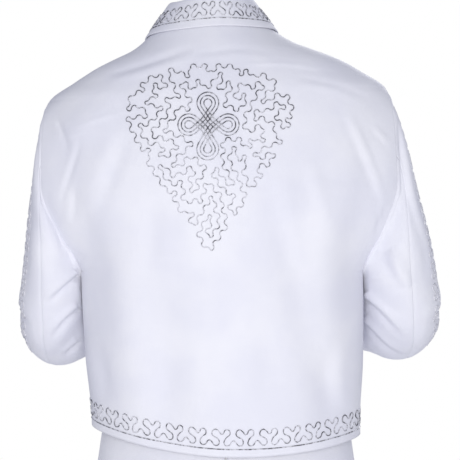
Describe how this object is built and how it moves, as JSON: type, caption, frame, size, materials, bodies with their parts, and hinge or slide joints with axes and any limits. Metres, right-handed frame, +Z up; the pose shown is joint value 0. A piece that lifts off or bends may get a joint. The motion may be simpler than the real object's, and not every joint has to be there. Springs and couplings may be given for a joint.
{
  "type": "charro suit",
  "caption": "White charro suit, short jacket with silver cord embroidery and slim trousers, hollow and posed as it is worn.",
  "frame": {"origin": "middle of the base of the neck, where the shoulders hold the jacket up", "axes": "+Z up, -Y the way the wearer faces, +X to the wearer's left"},
  "size_m": [0.5806, 0.4069, 1.5212],
  "materials": {
    "white_cloth": "smooth white gabardine with a soft sheen",
    "silver_cord": "twisted silver metallic cord",
    "shell_button": "glossy"
  },
  "bodies": {
    "root": {"jacket_back": "white_cloth", "jacket_front_left": "white_cloth", "jacket_front_right": "white_cloth", "collar": "white_cloth", "sleeve_left_top": "white_cloth", "sleeve_left_under": "white_cloth", "sleeve_right_top": "white_cloth", "sleeve_right_under": "white_cloth", "trouser_back_left": "white_cloth", "trouser_back_right": "white_cloth", "trouser_front_left": "white_cloth", "trouser_front_right": "white_cloth", "waistband": "white_cloth", "fly": "white_cloth", "border_cord": "silver_cord", "collar_cord": "silver_cord", "waistband_button": "shell_button"}
  },
  "joints": []
}
